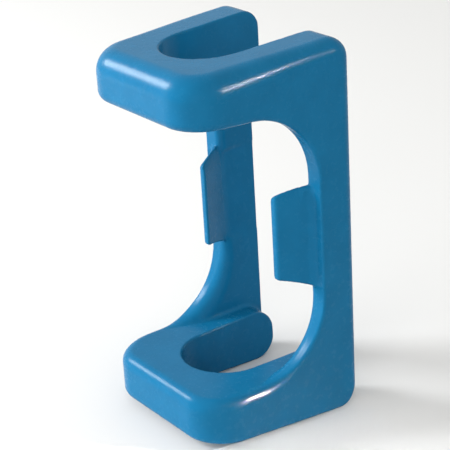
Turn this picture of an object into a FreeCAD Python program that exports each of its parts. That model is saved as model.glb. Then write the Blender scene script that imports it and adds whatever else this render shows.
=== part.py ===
import FreeCAD, Part
import math
import os
import Sketcher
from FreeCAD import Placement, Rotation, Vector

# One-piece injection moulded bag clip.  A U-shaped yoke at the top and another at the foot
# are joined at the back by two posts, and each post carries a thin snap finger that points
# forward and leans in over the open channel.  The blank is modelled whole, then divided
# where the arches run out into the straight posts.
# Frame in millimetres: X across, Y from the front (negative) to the flat back plane (0),
# Z up.  The origin is on the middle of the back plane, where the foot's lower face meets it.

doc = FreeCAD.newDocument("bag_clip")

# name, value, meaning
SIZES = [
    ("overall_height", 60.0, "back plane, foot to crown"),
    ("back_width", 29.2, "across the side faces at the back plane"),
    ("overall_depth", 28.5, "front wall to back plane"),
    ("side_draft", 0.0193, "side faces close in towards the front, mm per mm"),
    ("end_draft", 0.055, "crown and foot close in towards the front, mm per mm"),
    ("corner_radius", 6.3, "upright front corners"),
    ("back_top_radius", 3.2, "side view, back of the crown"),
    ("back_foot_radius", 3.8, "side view, back of the foot"),
    ("crown_edge", 2.8, "rounding of the crown's outer edges"),
    ("back_edge", 2.0, "rounding of the upright back edges"),
    ("foot_edge", 1.1, "rounding of the foot's outer edges"),
    ("sill_height", 8.8, "top of the foot yoke, underside of the window"),
    ("lintel_height", 50.9, "underside of the crown yoke, top of the window"),
    ("lintel_radius", 11.8, "arch between the crown yoke and a post"),
    ("sill_radius", 12.8, "arch between a post and the foot yoke"),
    ("sill_edge", 1.2, "rounding of the foot yoke's upper outer edges"),
    ("lintel_edge", 1.1, "rounding of the crown yoke's lower outer edges"),
    ("post_edge", 0.5, "rounding of the posts' front outer edges"),
    ("post_depth", 6.5, "back plane to the front of a post"),
    ("channel_half", 10.65, "middle plane to the inner face of a post"),
    ("arm_end_radius", 4.1, "back end of a foot arm, beside the post"),
    ("lintel_end_radius", 3.0, "back end of a crown arm, beside the post"),
    ("slot_mouth_half", 7.6, "middle plane to the slot wall at the back plane"),
    ("slot_end_radius", 7.25, "closed end of the slot"),
    ("slot_end_depth", 14.9, "back plane to the centre of the closed end"),
    ("hinge_gap", 0.15, "clearance between a finger root and its post"),
    ("finger_root_in", 11.05, "finger root, inner side from the middle plane"),
    ("finger_root_out", 13.5, "finger root, outer side from the middle plane"),
    ("finger_root_low", 21.7, "finger root, lower end"),
    ("finger_root_high", 37.9, "finger root, upper end"),
    ("finger_waist_in", 10.05, "finger one third out, inner side"),
    ("finger_waist_out", 11.4, "finger one third out, outer side"),
    ("finger_waist_low", 22.3, "finger one third out, lower end"),
    ("finger_waist_high", 37.6, "finger one third out, upper end"),
    ("finger_waist_reach", 8.0, "back plane to the waist section"),
    ("finger_tip_in", 8.3, "finger tip, inner side"),
    ("finger_tip_out", 9.7, "finger tip, outer side"),
    ("finger_tip_low", 23.1, "finger tip, lower end"),
    ("finger_tip_high", 36.5, "finger tip, upper end"),
    ("finger_tip_reach", 11.4, "back plane to the finger tip"),
    ("finger_tip_edge", 0.45, "rounding of the finger tip"),
    ("relief_depth", 0.45, "hollow in the post behind the finger"),
    ("relief_start", 1.2, "back plane to the start of the hollow"),
    ("relief_crease", 5.75, "back plane to the deepest line of the hollow"),
    ("margin", 2.0, "overshoot of the cutting shapes"),
]

sheet = doc.addObject("Spreadsheet::Sheet", "Sizes")
for row, (alias, value, meaning) in enumerate(SIZES, start=1):
    sheet.set(f"A{row}", alias)
    sheet.set(f"B{row}", str(value))
    sheet.set(f"C{row}", meaning)
    sheet.setAlias(f"B{row}", alias)
doc.recompute()


def size(alias):
    return float(sheet.get(alias))


def named(expression):
    """Sizes in an expression are written as @name."""
    return expression.replace("@", "Sizes.")


def new_body(label):
    body = doc.addObject("PartDesign::Body", label)
    body.Label = label
    return body


def plane_of(body, role):
    return next(f for f in body.Origin.OriginFeatures if f.Role == role)


def new_sketch(body, label, role, offset=None):
    """Sketch on one of the body's origin planes, moved off it by a size along its normal."""
    sketch = body.newObject("Sketcher::SketchObject", label)
    sketch.AttachmentSupport = [(plane_of(body, role), "")]
    sketch.MapMode = "FlatFace"
    if offset:
        sketch.setExpression(".AttachmentOffset.Base.z", named(offset))
    return sketch


def pin(sketch, geometry, end, across, up):
    """Hold one end of a line at a place given by two expressions."""
    for kind, expression in (("DistanceX", across), ("DistanceY", up)):
        index = sketch.addConstraint(Sketcher.Constraint(kind, -1, 1, geometry, end, 1.0))
        sketch.setExpression(f"Constraints[{index}]", named(expression))


def polygon(sketch, corners):
    """Closed outline through corners, each a pair of expressions."""
    count = len(corners)
    for index in range(count):
        turn = 2.0 * math.pi * index / count
        after = 2.0 * math.pi * (index + 1) / count
        start = Vector(10.0 * math.cos(turn), 10.0 * math.sin(turn), 0)
        end = Vector(10.0 * math.cos(after), 10.0 * math.sin(after), 0)
        sketch.addGeometry(Part.LineSegment(start, end), False)
    for index in range(count):
        following = (index + 1) % count
        sketch.addConstraint(Sketcher.Constraint("Coincident", index, 2, following, 1))
        pin(sketch, index, 1, *corners[index])


def pad(body, sketch, label, length, symmetric=False):
    feature = body.newObject("PartDesign::Pad", label)
    feature.Profile = sketch
    feature.setExpression("Length", named(length))
    feature.Midplane = symmetric
    sketch.Visibility = False
    doc.recompute()
    return feature


def edges_where(shape, test):
    """One-based numbers of the edges whose middle and direction pass the test."""
    found = []
    for number, edge in enumerate(shape.Edges, start=1):
        middle = edge.valueAt((edge.FirstParameter + edge.LastParameter) / 2.0)
        along = edge.tangentAt((edge.FirstParameter + edge.LastParameter) / 2.0)
        if test(middle, along, edge):
            found.append(number)
    return found


def body_fillet(body, base, label, radius, test):
    numbers = edges_where(base.Shape, test)
    feature = body.newObject("PartDesign::Fillet", label)
    feature.Base = (base, [f"Edge{n}" for n in numbers])
    feature.setExpression("Radius", named(radius))
    doc.recompute()
    return feature


def boolean(kind, label, *parts):
    feature = doc.addObject(kind, label)
    feature.Label = label
    if kind == "Part::MultiCommon":
        feature.Shapes = list(parts)
    else:
        feature.Base, feature.Tool = parts
    doc.recompute()
    return feature


def block(label, low, high):
    """Box between two corners given as expressions."""
    feature = doc.addObject("Part::Box", label)
    for axis, extent, start, end in zip("xyz", ("Length", "Width", "Height"), low, high):
        feature.setExpression(f".Placement.Base.{axis}", named(start))
        feature.setExpression(extent, named(f"({end}) - ({start})"))
    return feature


# ---- the outer block: plan view and side view cross each other -------------------------
plan = new_body("plan_block")
plan_sketch = new_sketch(plan, "plan_outline", "XY_Plane")
front_half = "(@back_width / 2 - @side_draft * @overall_depth)"
polygon(plan_sketch, [
    ("-@back_width / 2", "0"),
    (f"-{front_half}", "-@overall_depth"),
    (front_half, "-@overall_depth"),
    ("@back_width / 2", "0"),
])
plan_pad = pad(plan, plan_sketch, "plan_pad", "@overall_height")
body_fillet(plan, plan_pad, "front_corners", "@corner_radius",
            lambda p, d, e: abs(d.z) > 0.9 and p.y < -20)

side = new_body("side_block")
side_sketch = new_sketch(side, "side_outline", "YZ_Plane")
nose = "(@overall_depth + @margin)"
polygon(side_sketch, [
    ("0", "0"),
    ("0", "@overall_height"),
    (f"-{nose}", f"@overall_height - @end_draft * {nose}"),
    (f"-{nose}", f"@end_draft * {nose}"),
])
side_pad = pad(side, side_sketch, "side_pad", "@back_width + 2 * @margin", symmetric=True)
side_top = body_fillet(side, side_pad, "back_top", "@back_top_radius",
                       lambda p, d, e: abs(d.x) > 0.9 and p.y > -1 and p.z > 30)
body_fillet(side, side_top, "back_foot", "@back_foot_radius",
            lambda p, d, e: abs(d.x) > 0.9 and p.y > -1 and p.z < 30)

outer = boolean("Part::MultiCommon", "outer_block", plan, side)


def middle_of(edge):
    return edge.valueAt((edge.FirstParameter + edge.LastParameter) / 2.0)


def rounded(label, base, chosen, radius_at):
    """Part fillet over tangent edges, its radius set by the height of each edge end.

    A fillet walks its tangent chain from the first edge given, and takes the two radii of
    every edge in the walking direction, so the edges are put in that order here.
    """
    edges = base.Shape.Edges
    waiting = [n for n, edge in enumerate(edges, start=1) if chosen(edge)]
    rows = []
    here = None
    while waiting:
        number = next((n for n in waiting if here and any(
            vertex.Point.isEqual(here, 1e-4) for vertex in edges[n - 1].Vertexes)), None)
        if number is None:
            number = waiting[0]
            here = edges[number - 1].valueAt(edges[number - 1].FirstParameter)
        waiting.remove(number)
        points = [vertex.Point for vertex in edges[number - 1].Vertexes]
        if not points[0].isEqual(here, 1e-4):
            points.reverse()
        rows.append((number, radius_at(points[0].z), radius_at(points[1].z)))
        here = points[1]
    feature = doc.addObject("Part::Fillet", label)
    feature.Label = label
    feature.Base = base
    feature.Edges = rows
    doc.recompute()
    return feature


def outline_edge(edge):
    """Outer edges of the crown, the back uprights and the foot, but not the front corners."""
    place = middle_of(edge)
    across_back = place.y > -10 and abs(place.x) < 1
    upright_front = edge.BoundBox.ZLength > 30 and place.y < -10
    return not (across_back or upright_front)


def outline_radius(height):
    if height > size("overall_height") - 2:
        return size("crown_edge")
    return size("foot_edge") if height < 2 else size("back_edge")


shell = rounded("rounded_block", outer, outline_edge, outline_radius)

# ---- what is cut out of it ---------------------------------------------------------------
slot = new_body("slot_cutter")
slot_sketch = new_sketch(slot, "slot_outline", "XY_Plane", "-@margin")
mouth, ends_y, nose_r = size("slot_mouth_half"), -size("slot_end_depth"), size("slot_end_radius")
margin = size("margin")
arc = Part.ArcOfCircle(Part.Circle(Vector(0, ends_y, 0), Vector(0, 0, 1), nose_r),
                       math.pi, 2.0 * math.pi)
slot_sketch.addGeometry(arc, False)
slot_sketch.addGeometry(Part.LineSegment(Vector(nose_r, ends_y, 0), Vector(mouth, margin, 0)))
slot_sketch.addGeometry(Part.LineSegment(Vector(mouth, margin, 0), Vector(-mouth, margin, 0)))
slot_sketch.addGeometry(Part.LineSegment(Vector(-mouth, margin, 0), Vector(-nose_r, ends_y, 0)))
slot_sketch.addConstraint(Sketcher.Constraint("Tangent", 0, 2, 1, 1))
slot_sketch.addConstraint(Sketcher.Constraint("Coincident", 1, 2, 2, 1))
slot_sketch.addConstraint(Sketcher.Constraint("Coincident", 2, 2, 3, 1))
slot_sketch.addConstraint(Sketcher.Constraint("Tangent", 3, 2, 0, 1))
flare = "((@slot_mouth_half - @slot_end_radius) / @slot_end_depth)"
wide = f"(@slot_mouth_half + @margin * {flare})"
pin(slot_sketch, 1, 2, wide, "@margin")
pin(slot_sketch, 2, 2, f"-{wide}", "@margin")
slot_sketch.addConstraint(Sketcher.Constraint("PointOnObject", 0, 3, -2))
centre = slot_sketch.addConstraint(Sketcher.Constraint("DistanceY", -1, 1, 0, 3, ends_y))
slot_sketch.setExpression(f"Constraints[{centre}]", named("-@slot_end_depth"))
bend = slot_sketch.addConstraint(Sketcher.Constraint("Radius", 0, nose_r))
slot_sketch.setExpression(f"Constraints[{bend}]", named("@slot_end_radius"))
pad(slot, slot_sketch, "slot_pad", "@overall_height + 2 * @margin")

window = new_body("window_cutter")
window_sketch = new_sketch(window, "window_outline", "YZ_Plane")
polygon(window_sketch, [
    (f"-{nose}", "@sill_height"),
    ("-@post_depth", "@sill_height"),
    ("-@post_depth", "@lintel_height"),
    (f"-{nose}", "@lintel_height"),
])
window_pad = pad(window, window_sketch, "window_pad", "@back_width + 2 * @margin", symmetric=True)
window_top = body_fillet(window, window_pad, "lintel_arch", "@lintel_radius",
                         lambda p, d, e: abs(d.x) > 0.9 and p.y > -10 and p.z > 30)
body_fillet(window, window_top, "sill_arch", "@sill_radius",
            lambda p, d, e: abs(d.x) > 0.9 and p.y > -10 and p.z < 30)

channel = block("channel_cutter",
                ("-@channel_half", "-@post_depth - @sill_radius - @margin", "@sill_height"),
                ("@channel_half", "@margin", "@lintel_height"))
doc.recompute()

slotted = boolean("Part::Cut", "slotted_block", shell, slot)
framed = boolean("Part::Cut", "windowed_block", slotted, window)


def window_rim(edge):
    """The window's outline on the side faces and round the front."""
    place = middle_of(edge)
    inside = size("sill_height") - 0.1 < place.z < size("lintel_height") + 0.1
    outside = abs(place.x) > size("channel_half") + 1 or place.y < 1 - size("overall_depth")
    return inside and outside and place.y < 0.5 - size("post_depth")


def rim_radius(height):
    if height < size("sill_height") + 0.1:
        return size("sill_edge")
    return size("lintel_edge") if height > size("lintel_height") - 0.1 else size("post_edge")


eased = rounded("eased_block", framed, window_rim, rim_radius)
open_block = boolean("Part::Cut", "open_block", eased, channel)


def arm_end(edge):
    """Back end of an arm, where it shows between the slot and a post."""
    place = middle_of(edge)
    across = abs(edge.tangentAt(edge.FirstParameter).x) > 0.9 and place.y > -0.1
    beside = size("slot_mouth_half") < abs(place.x) < size("channel_half")
    faces = (size("sill_height"), size("lintel_height"))
    return across and beside and min(abs(place.z - face) for face in faces) < 0.1


def arm_end_radius(height):
    return size("arm_end_radius") if height < 30 else size("lintel_end_radius")


relieved = rounded("clip_blank", open_block, arm_end, arm_end_radius)

# ---- hollow in each post behind its finger ----------------------------------------------
hollows = []
for name, way in (("left", "-"), ("right", "")):
    hollow = new_body(f"{name}_hollow_cutter")
    hollow_sketch = new_sketch(hollow, f"{name}_hollow_outline", "XY_Plane", "@finger_root_low")
    inner = "@channel_half - @margin"
    deepest = "@channel_half + @relief_depth"
    polygon(hollow_sketch, [
        (f"{way}({inner})", "-@relief_start"),
        (f"{way}(@channel_half)", "-@relief_start"),
        (f"{way}({deepest})", "-@relief_crease"),
        (f"{way}(@finger_root_in)", "-@post_depth"),
        (f"{way}(@finger_root_in)", "-@post_depth - @margin"),
        (f"{way}({inner})", "-@post_depth - @margin"),
    ])
    pad(hollow, hollow_sketch, f"{name}_hollow_pad", "@finger_root_high - @finger_root_low")
    hollows.append(hollow)

blank = boolean("Part::Cut", "blank_left", relieved, hollows[0])
blank = boolean("Part::Cut", "blank_right", blank, hollows[1])

# ---- the fixed nodes: regions of the blank ------------------------------------------------
beyond = "(@back_width / 2 + @margin)"
front = "-@overall_depth - @margin"
post_foot = "@sill_height + @sill_radius"
post_head = "@lintel_height - @lintel_radius"
REGIONS = {
    "crown_yoke": ((f"-{beyond}", front, post_head),
                   (beyond, "@margin", "@overall_height + @margin")),
    "foot_yoke": ((f"-{beyond}", front, "-@margin"), (beyond, "@margin", post_foot)),
    "left_post": ((f"-{beyond}", front, post_foot), ("0", "@margin", post_head)),
    "right_post": (("0", front, post_foot), (beyond, "@margin", post_head)),
}
nodes = []
for name, (low, high) in REGIONS.items():
    region = block(f"{name}_region", low, high)
    doc.recompute()
    nodes.append(boolean("Part::MultiCommon", name, blank, region))

# ---- the snap fingers: three sections from root to tip, lofted ----------------------------
STATIONS = {
    "root": "@post_depth + @hinge_gap",
    "waist": "@finger_waist_reach",
    "tip": "@finger_tip_reach",
}
for name, way in (("left", "-"), ("right", "")):
    finger = new_body(f"{name}_finger")
    sections = []
    for station, reach in STATIONS.items():
        # XZ_Plane faces the front, so its normal offset is the reach itself
        section = new_sketch(finger, f"{name}_finger_{station}", "XZ_Plane", reach)
        near, far = f"{way}@finger_{station}_in", f"{way}@finger_{station}_out"
        low, high = f"@finger_{station}_low", f"@finger_{station}_high"
        polygon(section, [(near, low), (far, low), (far, high), (near, high)])
        sections.append(section)
    doc.recompute()
    loft = finger.newObject("PartDesign::AdditiveLoft", f"{name}_finger_loft")
    loft.Profile = sections[0]
    loft.Sections = sections[1:]
    for section in sections:
        section.Visibility = False
    doc.recompute()
    tip_line = 0.2 - size("finger_tip_reach")
    body_fillet(finger, loft, f"{name}_finger_tip_round", "@finger_tip_edge",
                lambda p, d, e: p.y < tip_line and abs(d.y) < 0.3)
    nodes.append(finger)

# ---- checks and files -----------------------------------------------------------------------
for thing in doc.Objects:
    if "Invalid" in thing.State or "Error" in thing.State:
        raise RuntimeError(f"{thing.Name} failed: {thing.State}")
os.makedirs("parts", exist_ok=True)
for node in nodes:
    shape = node.Shape
    if shape.isNull() or not shape.isValid() or len(shape.Solids) != 1:
        raise RuntimeError(f"{node.Label} isn't one valid solid")
    shape.exportStep(f"parts/{node.Label}.step")
    box = shape.BoundBox
    print(f"{node.Label}: {shape.Volume:.1f} mm3, x {box.XMin:.2f}..{box.XMax:.2f},"
          f" y {box.YMin:.2f}..{box.YMax:.2f}, z {box.ZMin:.2f}..{box.ZMax:.2f}")
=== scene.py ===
import math

import bpy
import numpy as np
from mathutils import Matrix, Vector


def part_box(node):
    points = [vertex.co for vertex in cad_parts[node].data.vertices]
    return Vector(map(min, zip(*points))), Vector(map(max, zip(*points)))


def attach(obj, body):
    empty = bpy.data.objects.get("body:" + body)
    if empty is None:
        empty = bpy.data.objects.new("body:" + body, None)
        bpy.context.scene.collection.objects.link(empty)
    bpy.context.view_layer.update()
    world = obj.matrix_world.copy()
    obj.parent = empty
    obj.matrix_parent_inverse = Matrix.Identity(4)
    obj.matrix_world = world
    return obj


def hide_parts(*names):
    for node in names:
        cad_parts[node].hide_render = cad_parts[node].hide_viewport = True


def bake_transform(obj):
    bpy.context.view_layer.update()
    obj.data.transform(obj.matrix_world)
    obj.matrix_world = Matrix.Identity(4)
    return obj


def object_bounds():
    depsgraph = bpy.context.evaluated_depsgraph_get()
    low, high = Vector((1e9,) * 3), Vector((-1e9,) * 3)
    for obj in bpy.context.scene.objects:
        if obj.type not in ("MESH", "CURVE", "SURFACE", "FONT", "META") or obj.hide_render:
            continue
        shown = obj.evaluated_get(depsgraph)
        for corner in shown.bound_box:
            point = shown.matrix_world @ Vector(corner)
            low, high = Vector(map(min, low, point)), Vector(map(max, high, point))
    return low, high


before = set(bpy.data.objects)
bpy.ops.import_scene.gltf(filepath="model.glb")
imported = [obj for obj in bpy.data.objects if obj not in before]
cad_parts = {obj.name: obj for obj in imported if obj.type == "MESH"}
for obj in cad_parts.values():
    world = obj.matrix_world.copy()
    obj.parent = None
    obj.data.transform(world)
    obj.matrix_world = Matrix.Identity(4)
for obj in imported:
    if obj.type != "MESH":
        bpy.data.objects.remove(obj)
cad_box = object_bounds()

MM = 0.001

# ---- sizes of the moulding, in millimetres -------------------------------------------------
# X across, Y from the front (negative) to the back plane (0), Z up.  Both halves are alike,
# so the shape is written for the distance from the middle plane.
HEIGHT = 60.0
HALF_WIDTH = 14.6
DEPTH = 28.5
SIDE_DRAFT = 0.0193
END_DRAFT = 0.055
FRONT_CORNER = 6.3
EDGE_RUN = (-24.0, -6.0)            # where the outside edges change from front to back
UPRIGHT_RUN = (-3.5, 3.5)
BACK_TOP_ROUND = 3.2
BACK_FOOT_ROUND = 3.8
CROWN_EDGE_FRONT = 3.4
CROWN_EDGE_BACK = 2.5
FOOT_EDGE_FRONT = 1.2
FOOT_EDGE_BACK = 0.9
UPRIGHT_EDGE = 2.0

SILL = 8.8
LINTEL = 50.9
MIDDLE = 29.85
LINTEL_ARCH = 11.8
SILL_ARCH = 12.0
POST_FRONT = -6.5
CHANNEL_HALF = 10.65
SILL_RIM_FRONT = 1.9
SILL_RIM_TOE = 1.3
SILL_RIM_SWEEP = 0.6
SILL_TOE_RUN = (-25.0, -20.5)
SILL_SWEEP_RUN = (-17.0, -11.0)
LINTEL_RIM_FRONT = 1.5
LINTEL_RIM_SIDE = 0.9
LINTEL_RUN = (-24.0, -17.0)
POST_RIM = 0.35
POST_RIM_RUN = (9.0, 19.0)          # height from the middle over which a post's rim grows
RIM_FADE = (-4.0, -1.5)             # the window's rims end before the flat back
INNER_EDGE_TOP = 1.4
INNER_EDGE_FOOT = 2.4
INNER_EDGE_RUN = (12.0, 24.0)
FOOT_ARM_END = 4.1
CROWN_ARM_END = 3.0
WALL_FILLET = 0.7

SLOT_HALF = 7.15
SLOT_END = -14.9
SLOT_FLARE = 0.0248
SLOT_RIM = 0.28

CREASE = (11.3, -5.75)
CREASE_FILLET = 0.5
HOLLOW_START = -1.2
HOLLOW_LOW = 21.7
HOLLOW_HIGH = 37.35
HOLLOW_SLOPE = 1.36
HOLLOW_EDGE = 0.2
FINGER_TIP = (8.3, -11.3)
FINGER_REACH = 11.4
FINGER_THICK = 1.25
FINGER_EDGE = 0.4
RIDGE_HEIGHT = 37.9
RIDGE_SIDE_IN = 35.95
RIDGE_SIDE_OUT = 36.3
RIDGE_FALL = 0.1
RIDGE_CURVE = 0.035
RIDGE_LEAST = 0.1                   # the ridge stands at least this far above its sides
ROOT_SPREAD = 2.2                   # extra width of the ridge's outer slope at the root
ROOT_SPREAD_RUN = (0.3, 2.0)
ARCH_SHARE = 1.2                    # the arch is followed a little past the blade's faces
UNDERSIDE = 21.4
UNDERSIDE_RISE = 0.42
UNDERSIDE_CURVE = 0.022
ROOT_FILLET = 0.9
FLARE_START = 0.3
ROOT_WELD = 0.3
WELD_RUN = (0.3, 1.2)               # the weld is only near the blade's top and bottom
WELD_FADE = (-5.2, -3.8)
BURIED = 0.05                       # how far the root sinks under the hollow where it ends
BURIED_RUN = (-3.6, -2.4)
ROOT_BACK = -2.0
ROOT_Y = -6.2

GRID = 0.3
PROBE = 0.002
SHALLOWEST = 0.3                    # least steepness that a step towards the surface assumes
RELAX_SHARE = 0.6


# ---- distance fields: negative inside the plastic ------------------------------------------
def both(a, b, radius):
    """Inside a and inside b, with their shared edge rounded to the radius."""
    near_a = np.maximum(a + radius, 0.0)
    near_b = np.maximum(b + radius, 0.0)
    return np.minimum(np.maximum(a, b), -radius) + np.hypot(near_a, near_b)


def either(a, b, radius):
    """Inside a or inside b, with their shared corner filled to the radius."""
    near_a = np.maximum(radius - a, 0.0)
    near_b = np.maximum(radius - b, 0.0)
    return np.maximum(np.minimum(a, b), radius) - np.hypot(near_a, near_b)


def ramp(value, start, end):
    """0 before start, 1 after end, smooth between."""
    u = np.clip((value - start) / (end - start), 0.0, 1.0)
    return u * u * (3.0 - 2.0 * u)


def mix(a, b, share):
    """Part of the way from a to b."""
    return a + (b - a) * share


def outer_block(across, y, z):
    """The drafted block with its outside edges rounded."""
    side = (across - HALF_WIDTH - SIDE_DRAFT * y) / math.hypot(1.0, SIDE_DRAFT)
    plan = both(side, -y - DEPTH, FRONT_CORNER)
    slope = math.hypot(1.0, END_DRAFT)
    top = (z - HEIGHT - END_DRAFT * y) / slope
    foot = (-z - END_DRAFT * y) / slope
    profile = np.maximum(both(top, y, BACK_TOP_ROUND), both(foot, y, BACK_FOOT_ROUND))
    rearward = ramp(y, *EDGE_RUN)
    at_crown = mix(CROWN_EDGE_FRONT, CROWN_EDGE_BACK, rearward)
    at_foot = mix(FOOT_EDGE_FRONT, FOOT_EDGE_BACK, rearward)
    at_end = np.where(z > MIDDLE, at_crown, at_foot)
    on_back = ramp(y - np.maximum(top, foot), *UPRIGHT_RUN)
    return both(plan, profile, mix(at_end, UPRIGHT_EDGE, on_back))


def window(y, z):
    """Inside the opening seen from the side, between the yokes and in front of the posts."""
    ahead = y - POST_FRONT
    high = both(ahead, z - LINTEL, LINTEL_ARCH)
    low = both(ahead, SILL - z, SILL_ARCH)
    return np.where(z > MIDDLE, high, low)


def yokes_and_posts(across, y, z):
    """The block with its window and channel cut out, and all their edges rounded."""
    body = outer_block(across, y, z)
    crown = both(LINTEL - z, y, CROWN_ARM_END)
    foot = both(z - SILL, y, FOOT_ARM_END)
    wall = CHANNEL_HALF - across
    beside = either(either(wall, foot, WALL_FILLET), crown, WALL_FILLET)
    inner_edge = mix(INNER_EDGE_FOOT, INNER_EDGE_TOP, ramp(z, *INNER_EDGE_RUN))
    posts = both(-window(y, z), beside, inner_edge)
    core = np.minimum(np.minimum(posts, crown), foot)

    at_crown = mix(LINTEL_RIM_FRONT, LINTEL_RIM_SIDE, ramp(y, *LINTEL_RUN))
    at_foot = mix(SILL_RIM_FRONT, SILL_RIM_TOE, ramp(y, *SILL_TOE_RUN))
    at_foot = mix(at_foot, SILL_RIM_SWEEP, ramp(y, *SILL_SWEEP_RUN))
    toward_end = ramp(np.abs(z - MIDDLE), *POST_RIM_RUN)
    at_end = np.where(z > MIDDLE, at_crown, at_foot)
    rim = mix(POST_RIM, at_end, toward_end) * (1.0 - ramp(y, *RIM_FADE))
    return both(body, core, rim)


def slot(across, y):
    """Inside the slot that runs in from the back of both yokes."""
    half = SLOT_HALF + SLOT_FLARE * np.maximum(y - SLOT_END, 0.0)
    return np.hypot(across, np.minimum(y - SLOT_END, 0.0)) - half


def along(start, end):
    """Unit vector in plan from one point to another."""
    way = np.array(end) - np.array(start)
    return way / np.linalg.norm(way)


def blade_depth(across, y):
    """Distance past the blade's channel face, towards its outer face."""
    run = along(CREASE, FINGER_TIP)
    return (y - CREASE[1]) * run[0] - (across - CREASE[0]) * run[1]


def channel_face(across, y):
    """Negative on the channel's side of the blade and of the hollow's floor."""
    fall = along((CHANNEL_HALF, HOLLOW_START), CREASE)
    floor = (y - HOLLOW_START) * fall[0] - (across - CHANNEL_HALF) * fall[1]
    return both(blade_depth(across, y), floor, CREASE_FILLET)


def hollow(across, y, z):
    """Inside the shallow hollow behind a finger."""
    sunk = HOLLOW_SLOPE * np.maximum(across - CHANNEL_HALF, 0.0)
    above = z - HOLLOW_HIGH + sunk
    below = HOLLOW_LOW + sunk - z
    limits = np.maximum(above, below) / math.hypot(1.0, HOLLOW_SLOPE)
    return both(channel_face(across, y), limits, HOLLOW_EDGE)


def blade_ends(depth, y, z):
    """Between the blade's arched top, a ridge that falls away to both faces, and its underside."""
    out = np.maximum(ROOT_Y - y, 0.0)
    ridge = RIDGE_HEIGHT - RIDGE_FALL * out - RIDGE_CURVE * out ** 2
    half = FINGER_THICK / 2.0
    outer = depth > half
    widened = half + ROOT_SPREAD * (1.0 - ramp(out, *ROOT_SPREAD_RUN))
    spread = np.where(outer, widened, half)
    side = np.minimum(np.where(outer, RIDGE_SIDE_OUT, RIDGE_SIDE_IN), ridge - RIDGE_LEAST)
    share = np.minimum(np.abs(depth - half) / spread, ARCH_SHARE)
    steep = 2.0 * share * (ridge - side) / spread
    over = (z - ridge + (ridge - side) * share ** 2) / np.hypot(1.0, steep)
    under = (UNDERSIDE + UNDERSIDE_RISE * out - UNDERSIDE_CURVE * out ** 2) - z
    return np.maximum(over, under)


def finger(across, y, ends):
    """Inside the blade, flared into the post's front on its outer side."""
    depth = blade_depth(across, y)
    facing = channel_face(across, y)
    blade = np.maximum(-facing, depth - FINGER_THICK)
    blade = both(blade, -y - FINGER_REACH, FINGER_EDGE)
    flare = ROOT_FILLET * ramp(depth, FLARE_START, FINGER_THICK)
    rooted = either(blade, POST_FRONT - y, flare)
    rooted = np.maximum(rooted, BURIED * ramp(y, *BURIED_RUN) - facing)
    within = np.maximum(solid_side(across, y), y - ROOT_BACK)
    return np.maximum(both(rooted, ends, FINGER_EDGE), within)


def solid_side(across, y):
    """Inside the side face."""
    return across - HALF_WIDTH - SIDE_DRAFT * y + POST_RIM


def clip_field(x, y, z):
    """The whole moulding."""
    across = np.abs(x)
    solid = yokes_and_posts(across, y, z)
    solid = both(solid, -hollow(across, y, z), HOLLOW_EDGE)
    ends = blade_ends(blade_depth(across, y), y, z)
    weld = ROOT_WELD * (1.0 - ramp(-ends, *WELD_RUN)) * (1.0 - ramp(y, *WELD_FADE))
    solid = either(solid, finger(across, y, ends), weld)
    return both(solid, -slot(across, y), SLOT_RIM)


# ---- surface of the field -----------------------------------------------------------------
def gradient(points):
    """Field value, unit outward normal and steepness at each point."""
    x, y, z = points.T
    value = clip_field(x, y, z)
    slope = np.stack([
        clip_field(x + PROBE, y, z) - clip_field(x - PROBE, y, z),
        clip_field(x, y + PROBE, z) - clip_field(x, y - PROBE, z),
        clip_field(x, y, z + PROBE) - clip_field(x, y, z - PROBE),
    ], axis=1) / (2.0 * PROBE)
    size = np.linalg.norm(slope, axis=1, keepdims=True)
    return value, slope / np.maximum(size, 1e-6), size[:, 0]


def onto_surface(points, steps):
    """Moves the points along the field's slope until they lie on the surface."""
    for _ in range(steps):
        value, normal, size = gradient(points)
        move = np.clip(value / np.maximum(size, SHALLOWEST), -0.5 * GRID, 0.5 * GRID)
        points = points - normal * move[:, None]
    return points


def cell_points(value, inside, counts, low):
    """One point in each grid cell that the surface crosses, and the number of every such cell."""
    cells = tuple(n - 1 for n in counts)
    total = np.zeros(cells + (3,))
    hits = np.zeros(cells)
    for axis in range(3):
        others = [k for k in range(3) if k != axis]
        for first, second in ((0, 0), (0, 1), (1, 0), (1, 1)):
            near = [slice(0, n) for n in cells]
            near[others[0]] = slice(first, first + cells[others[0]])
            near[others[1]] = slice(second, second + cells[others[1]])
            far = list(near)
            far[axis] = slice(1, cells[axis] + 1)
            a, b = value[tuple(near)], value[tuple(far)]
            crossed = inside[tuple(near)] != inside[tuple(far)]
            share = np.where(crossed, a / np.where(crossed, a - b, 1.0), 0.0)
            place = np.zeros(cells + (3,))
            place[..., axis] = share
            place[..., others[0]] = first
            place[..., others[1]] = second
            total += place * crossed[..., None]
            hits += crossed
    used = hits > 0
    number = np.full(cells, -1)
    number[used] = np.arange(int(used.sum()))
    corner = np.stack(np.nonzero(used), axis=1)
    return np.array(low) + GRID * (corner + total[used] / hits[used][:, None]), number


def cell_quads(inside, counts, number):
    """A quad across each grid edge that the surface crosses, facing outwards."""
    quads = []
    for axis in range(3):
        others = [k for k in range(3) if k != axis]
        near = [slice(1, n - 1) for n in counts]
        near[axis] = slice(0, counts[axis] - 1)
        far = list(near)
        far[axis] = slice(1, counts[axis])
        a, b = inside[tuple(near)], inside[tuple(far)]
        base = np.stack(np.nonzero(a != b), axis=1)
        leaving = a[a != b]
        base[:, others[0]] += 1
        base[:, others[1]] += 1
        ring = []
        for first, second in ((-1, -1), (0, -1), (0, 0), (-1, 0)):
            cell = base.copy()
            cell[:, others[0]] += first
            cell[:, others[1]] += second
            ring.append(number[tuple(cell.T)])
        ring = np.stack(ring, axis=1)
        flip = leaving == (axis == 1)
        ring[flip] = ring[flip][:, ::-1]
        quads.append(ring)
    return np.concatenate(quads)


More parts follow.
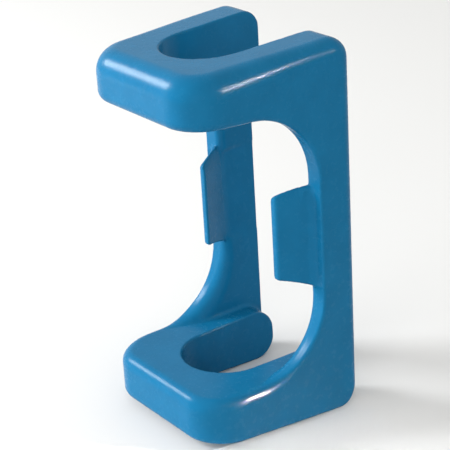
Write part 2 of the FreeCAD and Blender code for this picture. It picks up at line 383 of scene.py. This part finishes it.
def surface(low, high):
    """Points and quads over the field's zero surface."""
    counts = [int(math.ceil((b - a) / GRID)) + 1 for a, b in zip(low, high)]
    axes = [a + GRID * np.arange(n) for a, n in zip(low, counts)]
    value = clip_field(*np.meshgrid(*axes, indexing="ij"))
    inside = value < 0.0
    points, number = cell_points(value, inside, counts, low)
    return points, cell_quads(inside, counts, number)


def relaxed(points, quads, rounds):
    """Evens out the quads by moving each vertex towards its neighbours, along the surface."""
    edges = np.concatenate([quads[:, [k, (k + 1) % 4]] for k in range(4)])
    count = np.bincount(edges[:, 0], minlength=len(points))
    for _ in range(rounds):
        middle = np.zeros_like(points)
        for axis in range(3):
            middle[:, axis] = np.bincount(
                edges[:, 0], weights=points[edges[:, 1], axis], minlength=len(points))
        middle /= np.maximum(count, 1)[:, None]
        points = onto_surface(mix(points, middle, RELAX_SHARE), 2)
    return points


# ---- pieces ---------------------------------------------------------------------------------
ROOM = 2.0 * GRID
FINGER_START = -6.62
FINGER_ZONE_LOW = 21.0
FINGER_ZONE_HIGH = 38.4
FINGER_ZONE_SIDE = 7.5


def whole_skin():
    """Points, normals and quads over the whole clip, within the CAD pieces' boxes."""
    boxes = [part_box(node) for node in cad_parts]
    low = tuple(min(box[0][axis] for box in boxes) / MM - ROOM for axis in range(3))
    high = tuple(max(box[1][axis] for box in boxes) / MM + ROOM for axis in range(3))
    points, quads = surface(low, high)
    points = relaxed(onto_surface(points, 4), quads, 3)
    points = onto_surface(points, 3)
    return points, gradient(points)[1], quads


def finger_quads(centre):
    """Which quads belong to the fingers, from their centres."""
    ahead = (centre[:, 1] < FINGER_START) & (centre[:, 1] > -FINGER_REACH - GRID)
    aside = np.abs(centre[:, 0]) > FINGER_ZONE_SIDE
    level = (centre[:, 2] > FINGER_ZONE_LOW) & (centre[:, 2] < FINGER_ZONE_HIGH)
    return ahead & aside & level


def piece(name, points, normals, quads):
    """Mesh object from some of the quads, keeping the field's own normals."""
    used, index = np.unique(quads, return_inverse=True)
    mesh = bpy.data.meshes.new(name)
    mesh.from_pydata((points[used] * MM).tolist(), [], index.reshape(quads.shape).tolist())
    mesh.shade_smooth()
    mesh.normals_split_custom_set_from_vertices(normals[used].tolist())
    made = bpy.data.objects.new(name, mesh)
    bpy.context.scene.collection.objects.link(made)
    return made


points, normals, quads = whole_skin()
centre = points[quads].mean(axis=1)
on_finger = finger_quads(centre)

clip_frame = piece("clip_frame", points, normals, quads[~on_finger])
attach(clip_frame, "frame")
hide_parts("crown_yoke", "foot_yoke", "left_post", "right_post")
built = [clip_frame]
for side, sign in (("left", -1.0), ("right", 1.0)):
    chosen = on_finger & (centre[:, 0] * sign > 0.0)
    blade = piece(side + "_snap_blade", points, normals, quads[chosen])
    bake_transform(blade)
    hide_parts(side + "_finger")
    built.append(blade)


# ---- plastic ----------------------------------------------------------------------------------
BLUE = (0.0048, 0.122, 0.255, 1.0)
BLUE_DEEP = (0.0038, 0.109, 0.230, 1.0)
FLOW_MARKS = (260.0, 4.0, 0.6)      # scale, detail and roughness of each noise
SCUFFS = (900.0, 5.0, 0.65)
WAVES = (180.0, 2.0, 0.5)
GRAIN = (4200.0, 3.0, 0.6)
GLOSS_SMOOTH = 0.22
GLOSS_SCUFFED = 0.30
BUMP_STRENGTH = 0.35
WAVE_HEIGHT = 0.06 * MM
GRAIN_HEIGHT = 0.01 * MM
PLASTIC_IOR = 1.49
PLASTIC_SHEEN = 0.09


def plastic():
    """Satin moulded plastic: faint flow marks in the colour, fine grain, scuffed gloss."""
    material = bpy.data.materials.new("blue_plastic")
    material.use_nodes = True
    nodes, links = material.node_tree.nodes, material.node_tree.links
    shader = nodes["Principled BSDF"]
    place = nodes.new("ShaderNodeTexCoord").outputs["Object"]

    def noise(scale, detail, rough):
        node = nodes.new("ShaderNodeTexNoise")
        node.inputs["Scale"].default_value = scale
        node.inputs["Detail"].default_value = detail
        node.inputs["Roughness"].default_value = rough
        links.new(place, node.inputs["Vector"])
        return node.outputs["Fac"]

    def spread(source, low, high):
        node = nodes.new("ShaderNodeMapRange")
        node.inputs["From Min"].default_value = 0.3
        node.inputs["From Max"].default_value = 0.7
        node.inputs["To Min"].default_value = low
        node.inputs["To Max"].default_value = high
        links.new(source, node.inputs["Value"])
        return node.outputs["Result"]

    def bump(source, height):
        node = nodes.new("ShaderNodeBump")
        node.inputs["Strength"].default_value = BUMP_STRENGTH
        node.inputs["Distance"].default_value = height
        links.new(source, node.inputs["Height"])
        return node

    tone = nodes.new("ShaderNodeMix")
    tone.data_type = "RGBA"
    tone.inputs["A"].default_value = BLUE
    tone.inputs["B"].default_value = BLUE_DEEP
    links.new(spread(noise(*FLOW_MARKS), 0.0, 1.0), tone.inputs["Factor"])
    links.new(tone.outputs["Result"], shader.inputs["Base Color"])

    gloss = spread(noise(*SCUFFS), GLOSS_SMOOTH, GLOSS_SCUFFED)
    links.new(gloss, shader.inputs["Roughness"])

    waviness = bump(noise(*WAVES), WAVE_HEIGHT)
    grain = bump(noise(*GRAIN), GRAIN_HEIGHT)
    links.new(waviness.outputs["Normal"], grain.inputs["Normal"])
    links.new(grain.outputs["Normal"], shader.inputs["Normal"])
    shader.inputs["IOR"].default_value = PLASTIC_IOR
    shader.inputs["Specular IOR Level"].default_value = PLASTIC_SHEEN
    return material


blue = plastic()
for each in built:
    each.data.materials.append(blue)


# ---- floor, light and camera -----------------------------------------------------------------
FLOOR_SIZE = 4.0
FLOOR_COLOUR = (0.64, 0.64, 0.64, 1.0)
FLOOR_ROUGHNESS = 0.9
ROOM_COLOUR = (1.0, 0.99, 0.96, 1.0)
ROOM_STRENGTH = 0.85

bpy.context.scene.view_settings.view_transform = "Standard"
low_corner, high_corner = (Vector(corner) for corner in cad_box)
middle = (low_corner + high_corner) / 2.0


def add_floor():
    """Plain pale floor under the clip's lowest point."""
    half = FLOOR_SIZE / 2.0
    mesh = bpy.data.meshes.new("floor")
    mesh.from_pydata(
        [(-half, -half, 0.0), (half, -half, 0.0), (half, half, 0.0), (-half, half, 0.0)],
        [], [(0, 1, 2, 3)])
    floor = bpy.data.objects.new("floor", mesh)
    floor.location = (middle.x, middle.y, low_corner.z)
    bpy.context.scene.collection.objects.link(floor)
    pale = bpy.data.materials.new("pale_floor")
    pale.use_nodes = True
    shader = pale.node_tree.nodes["Principled BSDF"]
    shader.inputs["Base Color"].default_value = FLOOR_COLOUR
    shader.inputs["Roughness"].default_value = FLOOR_ROUGHNESS
    floor.data.materials.append(pale)


def add_room_light():
    """Even warm white light from all round."""
    world = bpy.data.worlds.new("studio")
    world.use_nodes = True
    background = world.node_tree.nodes["Background"]
    background.inputs["Color"].default_value = ROOM_COLOUR
    background.inputs["Strength"].default_value = ROOM_STRENGTH
    bpy.context.scene.world = world


LIGHT_DISTANCE = 0.55
COOL = (0.97, 0.99, 1.0)
NEUTRAL = (1.0, 1.0, 1.0)
WARM = (1.0, 0.99, 0.95)
GLINT_COLOUR = (1.0, 0.98, 0.95)
GLINT_SIZE = 0.020
GLINT_BEAM = 3.2
FOOT_RIM = Vector((13.0, -19.0, 7.0)) * MM
CROWN_RIM = Vector((13.0, -24.0, 57.0)) * MM


def softbox(name, azimuth, elevation, size, power, colour, wash=True, shine=True,
            beam=180.0, aim=middle):
    """Square lamp aimed at a point; azimuth turns from the front towards the right.

    A lamp with wash off only makes highlights, and one with shine off makes none.
    """
    data = bpy.data.lights.new(name, "AREA")
    data.shape = "SQUARE"
    data.size = size
    data.energy = power
    data.color = colour
    data.spread = math.radians(beam)
    light = bpy.data.objects.new(name, data)
    turn, lift = math.radians(azimuth), math.radians(elevation)
    way = Vector((math.sin(turn) * math.cos(lift), -math.cos(turn) * math.cos(lift),
                  math.sin(lift)))
    light.location = aim + way * LIGHT_DISTANCE
    light.rotation_euler = (-way).to_track_quat("-Z", "Y").to_euler()
    light.visible_diffuse = wash
    light.visible_glossy = shine
    bpy.context.scene.collection.objects.link(light)


VIEW_AZIMUTH = math.radians(55.12)
VIEW_ELEVATION = math.radians(23.0)
VIEW_ROLL = math.radians(3.47)
VIEW_DISTANCE = 0.2345
AIM_OFFSET = Vector((0.00016, 0.00028, 0.00005))
SENSOR_WIDTH = 36.0
FOCAL_LENGTH = 122.95
CLIP_START = 0.01


def add_camera():
    """Camera towards the front right corner, looking down, with a slight roll."""
    data = bpy.data.cameras.new("camera")
    data.sensor_width = SENSOR_WIDTH
    data.lens = FOCAL_LENGTH
    data.clip_start = CLIP_START
    camera = bpy.data.objects.new("camera", data)
    back = Vector((math.sin(VIEW_AZIMUTH) * math.cos(VIEW_ELEVATION),
                   -math.cos(VIEW_AZIMUTH) * math.cos(VIEW_ELEVATION),
                   math.sin(VIEW_ELEVATION)))
    level = Vector((0.0, 0.0, 1.0)).cross(back).normalized()
    right = level * math.cos(VIEW_ROLL) - back.cross(level) * math.sin(VIEW_ROLL)
    turned = Matrix((right, back.cross(right), back)).transposed().to_4x4()
    place = Matrix.Translation(middle + AIM_OFFSET + back * VIEW_DISTANCE)
    camera.matrix_world = place @ turned
    bpy.context.scene.collection.objects.link(camera)
    bpy.context.scene.camera = camera


add_floor()
add_room_light()
softbox("key_low", 315.0, 8.0, 0.18, 2.2, COOL, shine=False)
softbox("key", 310.0, 27.0, 0.16, 2.5, COOL, shine=False)
softbox("edge_shine", 297.5, 29.0, 0.15, 2.3, COOL, wash=False)
softbox("front_fill", 350.0, 30.0, 0.30, 0.8, NEUTRAL, shine=False)
softbox("right_fill", 45.0, 15.0, 0.30, 1.0, WARM, shine=False)
softbox("back_fill", 135.0, 20.0, 0.30, 0.2, WARM, shine=False)
softbox("foot_glint", 130.5, 23.0, GLINT_SIZE, 0.065, GLINT_COLOUR, wash=False,
        beam=GLINT_BEAM, aim=FOOT_RIM)
softbox("crown_glint", 121.0, 22.0, GLINT_SIZE, 0.0025, GLINT_COLOUR, wash=False,
        beam=GLINT_BEAM, aim=CROWN_RIM)
add_camera()
